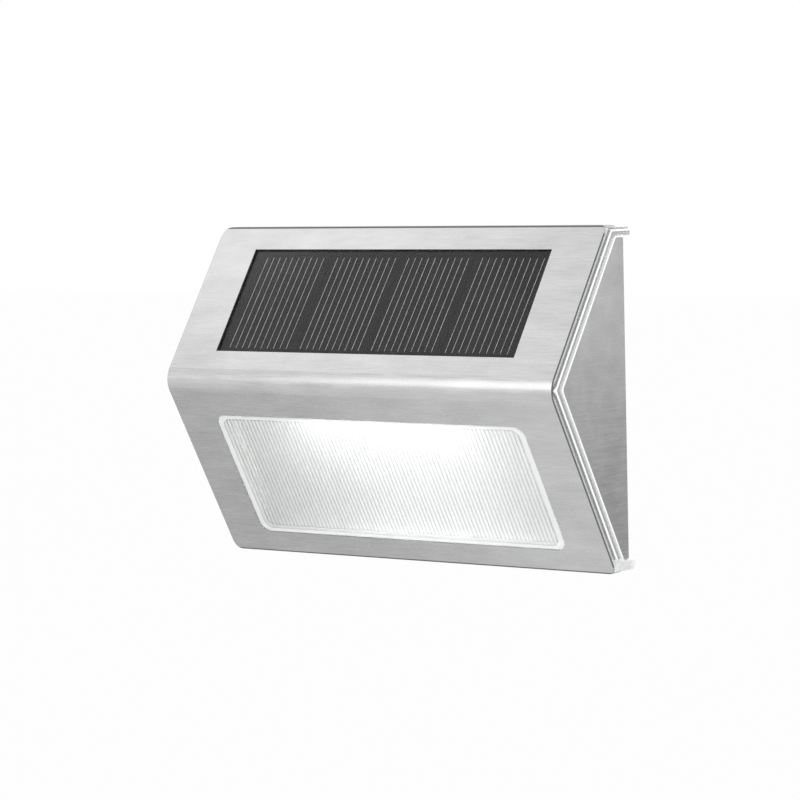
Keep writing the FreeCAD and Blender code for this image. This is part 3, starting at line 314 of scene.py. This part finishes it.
# the reeded field of the window, in millimetres, with painted shade along a line round it and in the grooves
# between its reeds, and a painted highlight on its border
windowLook = {
    "pitch": 1.15,
    "halfWidth": 44.3,
    "run": (11.5, 43.9),
    "corner": 2.0,
    "outline": (0.1, 0.24),
    "outlineShade": 0.68,
    "groove": (0.06, 0.17),  # shares of the pitch
    "grooveShade": 0.78,
    "milk": (0.1, 0.6),  # in the field and on the border
    # painted highlight: the border glows, fading inwards from the field and away from the front face
    "borderGlow": (2.6, 3.0),
    "borderDepth": (2.5, 3.0),
    "borderShare": 0.45,
}


def windowLines(tree, look):
    place = objectPlace(tree)
    across = times(tree, addNode(tree, "ShaderNodeSeparateXYZ", {0: place}).outputs[0], 1 / mm)
    down = slopeRun(tree, place, lowerSlope, 1)
    start, end = look["run"]

    # distance past the rounded outline of the field
    beside = maths(tree, "SUBTRACT", maths(tree, "ABSOLUTE", across), look["halfWidth"] - look["corner"])
    offMiddle = maths(tree, "ABSOLUTE", maths(tree, "SUBTRACT", down, (start + end) / 2))
    below = maths(tree, "SUBTRACT", offMiddle, (end - start) / 2 - look["corner"])
    corner = addNode(tree, "ShaderNodeCombineXYZ", {0: maths(tree, "MAXIMUM", beside, 0.0),
                                                    1: maths(tree, "MAXIMUM", below, 0.0)})
    length = addNode(tree, "ShaderNodeVectorMath", {0: corner.outputs[0]}, operation="LENGTH")
    inner = maths(tree, "MINIMUM", maths(tree, "MAXIMUM", beside, below), 0.0)
    past = maths(tree, "SUBTRACT", maths(tree, "ADD", length.outputs["Value"], inner), look["corner"])

    outline = spread(tree, maths(tree, "ABSOLUTE", past), look["outlineShade"], 1, *look["outline"])
    outside = spread(tree, past, 0, 1, *look["outline"])
    share = maths(tree, "FRACT", maths(tree, "DIVIDE", across, look["pitch"]))
    fromGroove = maths(tree, "ABSOLUTE", maths(tree, "SUBTRACT", share, 0.5))
    groove = spread(tree, fromGroove, look["grooveShade"], 1, *look["groove"])
    shade = times(tree, outline, maths(tree, "MAXIMUM", groove, outside))

    paintedBorderGlint = times(tree, outside, spread(tree, past, look["borderShare"], 0, *look["borderGlow"]))
    nearFront = spread(tree, slopeRun(tree, place, lowerSlope, 2), 1, 0, *look["borderDepth"])
    return spread(tree, outside, *look["milk"], 0, 1), shade, times(tree, paintedBorderGlint, nearFront)


# the lights are lit: the lamps shine, and the reflector has a painted glow, strongest near them, in
# millimetres across
lampLook = {
    "strength": 55.0,
    "reflectorGlow": 0.3,
    "colour": (0.97, 0.99, 1.0),
    "dimColour": (0.2, 0.2, 0.2),
    "glowMiddle": 10.0,
    "glowFade": (12.0, 50.0),
}

coverSteel = brushedSteel("brushedCoverSteel", brushedLook["cover"], brushedLook["coverGrain"], "X")
plateSteel = brushedSteel("brushedPlateSteel", brushedLook["plate"], brushedLook["plateGrain"], "Y")
plain = {name: plainFinish(name, *values) for name, values in plainFinishes.items()}
panelResin = clearPlastic("panelResin", resinLook)[0]

# the housing: painted highlights on the rims and the window border, as milk and glow, and painted shade in
# the window's creases
clearMoulding, tree, shader = clearPlastic("clearMoulding", clearLook)
rimPaintedMilk, paintedGlints, atEnd = rimLines(tree, rimLook)
windowMilk, shade, paintedBorderGlint = windowLines(tree, windowLook)
milk = blend(tree, atEnd, windowMilk, rimPaintedMilk)
tree.links.new(maths(tree, "SUBTRACT", 1.0, milk), shader.inputs["Transmission Weight"])
paintedGlints = maths(tree, "MAXIMUM", paintedGlints, paintedBorderGlint)
tree.links.new(tint(tree, paintedGlints, (0, 0, 0), lampLook["colour"]), shader.inputs["Emission Color"])
shader.inputs["Emission Strength"].default_value = rimLook["glow"]
unshaded = shader.inputs["Base Color"].links[0].from_socket
shaded = addNode(tree, "ShaderNodeVectorMath", {0: unshaded, "Scale": shade}, operation="SCALE").outputs[0]
tree.links.new(shaded, shader.inputs["Base Color"])

for name, strength in (("lampPhosphor", lampLook["strength"]), ("litReflector", lampLook["reflectorGlow"])):
    shader = plain[name].node_tree.nodes["Principled BSDF"]
    shader.inputs["Emission Color"].default_value = (*lampLook["colour"], 1)
    shader.inputs["Emission Strength"].default_value = strength
# painted light: the reflector glows as if lit by the lamps, most across from them
tree = plain["litReflector"].node_tree
across = times(tree, addNode(tree, "ShaderNodeSeparateXYZ", {0: objectPlace(tree)}).outputs[0], 1 / mm)
offMiddle = maths(tree, "ABSOLUTE", maths(tree, "SUBTRACT", across, lampLook["glowMiddle"]))
glow = spread(tree, offMiddle, 1, 0, *lampLook["glowFade"])
emission = tint(tree, glow, lampLook["dimColour"], lampLook["colour"])
tree.links.new(emission, tree.nodes["Principled BSDF"].inputs["Emission Color"])
print("materials made:", len(bpy.data.materials))

bySlot = {
    "steel": coverSteel, "clear_plastic": clearMoulding, "resin": panelResin,
    "black_plastic": plain["blackPlastic"], "white_plastic": plain["litReflector"],
    "solar_cell": plain["cellSilicon"], "black_board": plain["blackBoard"],
    "white_board": plain["whiteBoard"], "green_board": plain["greenBoard"],
    "lamp": plain["lampPhosphor"], "adhesive": plain["adhesive"], "silicone": plain["silicone"],
    "screw_steel": plain["zincScrew"], "contact_metal": plain["nickelStrip"],
    "cell_sleeve": plain["cellSleeve"], "component": plain["component"],
    "red_wire": plain["redWire"], "black_wire": plain["blackWire"],
}
byNode = {"side_plate_left": plateSteel, "side_plate_right": plateSteel}
for name, node in nodes.items():
    slotName = node.material_slots[0].material.name.split(".")[0]
    node.material_slots[0].material = byNode.get(name, bySlot[slotName])


# silver fingers of the solar cells and the film over them, in millimetres in the upper slope's frame

fingerShape = {
    "starts": (-41.0, -18.95, 2.75, 24.55),
    "perCell": 10,
    "pitch": 1.971,
    "width": 0.125,
    "top": 8.35,
    "bottom": 34.05,
    "depth": (0.965, 0.995),
    "lean": 2.35,  # degrees
}
filmShape = {"x": (-45.65, 45.65), "y": (5.45, 36.45), "z": (0.6, 1.3), "edge": 0.12, "edgeSegments": 3}


def finishPiece(bm, name, material, body="light"):
    mesh = bpy.data.meshes.new(name)
    bm.to_mesh(mesh)
    bm.free()
    mesh.materials.append(material)
    piece = bpy.data.objects.new(name, mesh)
    bpy.context.scene.collection.objects.link(piece)
    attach(piece, body)
    return piece


def addSlab(bm, place, x, y, z):
    # a block given by three ranges in millimetres, in the frame of its place
    size = Vector((x[1] - x[0], y[1] - y[0], z[1] - z[0])) * mm
    middle = Vector((x[0] + x[1], y[0] + y[1], z[0] + z[1])) * mm / 2
    where = place @ Matrix.Translation(middle) @ Matrix.Diagonal((*size, 1))
    bmesh.ops.create_cube(bm, size=1, matrix=where)


halfWidth = fingerShape["width"] / 2
halfLength = (fingerShape["bottom"] - fingerShape["top"]) / 2
middle = (fingerShape["bottom"] + fingerShape["top"]) / 2
lean = Matrix.Rotation(math.radians(fingerShape["lean"]), 4, "Z")
bm = bmesh.new()
for start in fingerShape["starts"]:
    for i in range(fingerShape["perCell"]):
        x = start + fingerShape["pitch"] * i
        place = upperSlope @ Matrix.Translation((x * mm, middle * mm, 0)) @ lean
        addSlab(bm, place, (-halfWidth, halfWidth), (-halfLength, halfLength), fingerShape["depth"])
finishPiece(bm, "cellFingers", plain["silverFinger"])

bm = bmesh.new()
addSlab(bm, upperSlope, filmShape["x"], filmShape["y"], filmShape["z"])
bmesh.ops.bevel(bm, geom=bm.edges[:], offset=filmShape["edge"] * mm, affect="EDGES",
                segments=filmShape["edgeSegments"], profile=0.5, material=-1)
film = finishPiece(bm, "panelFilm", panelResin)
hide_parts("solar_film")
print("solar panel dressed")


# floor, world, lamps and camera, in metres

studio = {
    "floorSize": 8,
    "floorDrop": 0.15,
    "floorPaint": ((0.69, 0.69, 0.69), (0.73, 0.73, 0.73)),
    "floorBlotch": (3.0, 2.0),  # scale and detail of the noise
    "floorRoughness": 0.7,
    "floorSeen": 0.96,
    # painted reflection: metal sees the floor white on one side only, along this direction
    "paintedReflectionSide": (0.65, -0.76, 0.0),
    "paintedReflectionRange": (-0.045, 0.01),
    "world": 0.9,
    "lamps": {
        "softLeft": {"place": (-0.561, -0.14, 0.689), "size": (0.3, 0.3), "radiance": 0.6},
        "softTop": {"place": (-0.243, -0.141, 0.282), "size": (0.14, 0.1), "radiance": 0.18},
        "softFront": {"place": (-0.445, -0.803, 0.29), "size": (0.35, 0.5), "radiance": 1.2},
        "softBack": {"place": (0.258, 0.232, 0.03), "size": (0.1, 0.1), "radiance": 0.62},
    },
}

floorHeight = coverShape["bottom"][1] * mm - studio["floorDrop"]
bpy.ops.mesh.primitive_plane_add(size=studio["floorSize"], location=(0, 0, floorHeight))
floor = bpy.context.object
floor.name = "studioFloor"
floorPaint, tree, shader = newMaterial("paleFloor")
blotch = objectNoise(tree, (1, 1, 1), *studio["floorBlotch"])
tree.links.new(tint(tree, blotch, *studio["floorPaint"]), shader.inputs["Base Color"])
shader.inputs["Roughness"].default_value = studio["floorRoughness"]

# the camera sees the floor almost white; metal mirrors it with a painted reflection, white on one side and
# darker on the other
path = addNode(tree, "ShaderNodeLightPath").outputs
seen = maths(tree, "MAXIMUM", path["Is Camera Ray"], path["Is Transmission Ray"])
along = addNode(tree, "ShaderNodeVectorMath", {0: objectPlace(tree), 1: studio["paintedReflectionSide"]},
                operation="DOT_PRODUCT").outputs["Value"]
paintedFloorReflection = times(tree, path["Is Glossy Ray"], spread(tree, along, 0, 1, *studio["paintedReflectionRange"]))
share = maths(tree, "MAXIMUM", times(tree, seen, studio["floorSeen"]), paintedFloorReflection)
glow = addNode(tree, "ShaderNodeEmission", {"Strength": 1.0})
mixShaders(tree, share, shader.outputs[0], glow.outputs[0])
floor.data.materials.append(floorPaint)

# the world lights the object a little below white, and is seen and mirrored white
world = bpy.data.worlds.new("studioWorld")
bpy.context.scene.world = world
world.use_nodes = True
tree = world.node_tree
tree.nodes.clear()
path = addNode(tree, "ShaderNodeLightPath").outputs
seen = maths(tree, "MAXIMUM", path["Is Camera Ray"], path["Is Glossy Ray"])
seen = maths(tree, "MAXIMUM", seen, path["Is Transmission Ray"])
soft = addNode(tree, "ShaderNodeBackground", {"Color": (1, 1, 1, 1), "Strength": studio["world"]})
white = addNode(tree, "ShaderNodeBackground", {"Color": (1, 1, 1, 1), "Strength": 1.0})
mix = addNode(tree, "ShaderNodeMixShader", {0: seen, 1: soft.outputs[0], 2: white.outputs[0]})
addNode(tree, "ShaderNodeOutputWorld", {0: mix.outputs[0]})

for name, spec in studio["lamps"].items():
    light = bpy.data.lights.new(name, "AREA")
    light.shape = "RECTANGLE"
    light.size, light.size_y = spec["size"]
    light.energy = spec["radiance"] * math.pi * light.size * light.size_y
    lampObject = bpy.data.objects.new(name, light)
    bpy.context.scene.collection.objects.link(lampObject)
    lampObject.location = spec["place"]
    lampObject.rotation_euler = (-Vector(spec["place"])).to_track_quat("-Z", "Y").to_euler()
    lampObject.visible_camera = False

cameraFit = {
    "place": (0.4910662, -0.6507115, 0.0589603),
    "sensor": 36,
    "lens": 151.3636,
    "yaw": 37.60802,
    "pitch": 4.259254,
    "roll": -1.323102,
}
camera = bpy.data.cameras.new("photoCamera")
camera.sensor_width = cameraFit["sensor"]
camera.lens = cameraFit["lens"]
cameraObject = bpy.data.objects.new("photoCamera", camera)
bpy.context.scene.collection.objects.link(cameraObject)
turn = (Matrix.Rotation(math.radians(cameraFit["yaw"]), 4, "Z")
        @ Matrix.Rotation(math.radians(90 - cameraFit["pitch"]), 4, "X")
        @ Matrix.Rotation(math.radians(cameraFit["roll"]), 4, "Z"))
cameraObject.matrix_world = Matrix.Translation(cameraFit["place"]) @ turn
bpy.context.scene.camera = cameraObject
bpy.context.scene.view_settings.view_transform = "Standard"
print("stage and camera set")
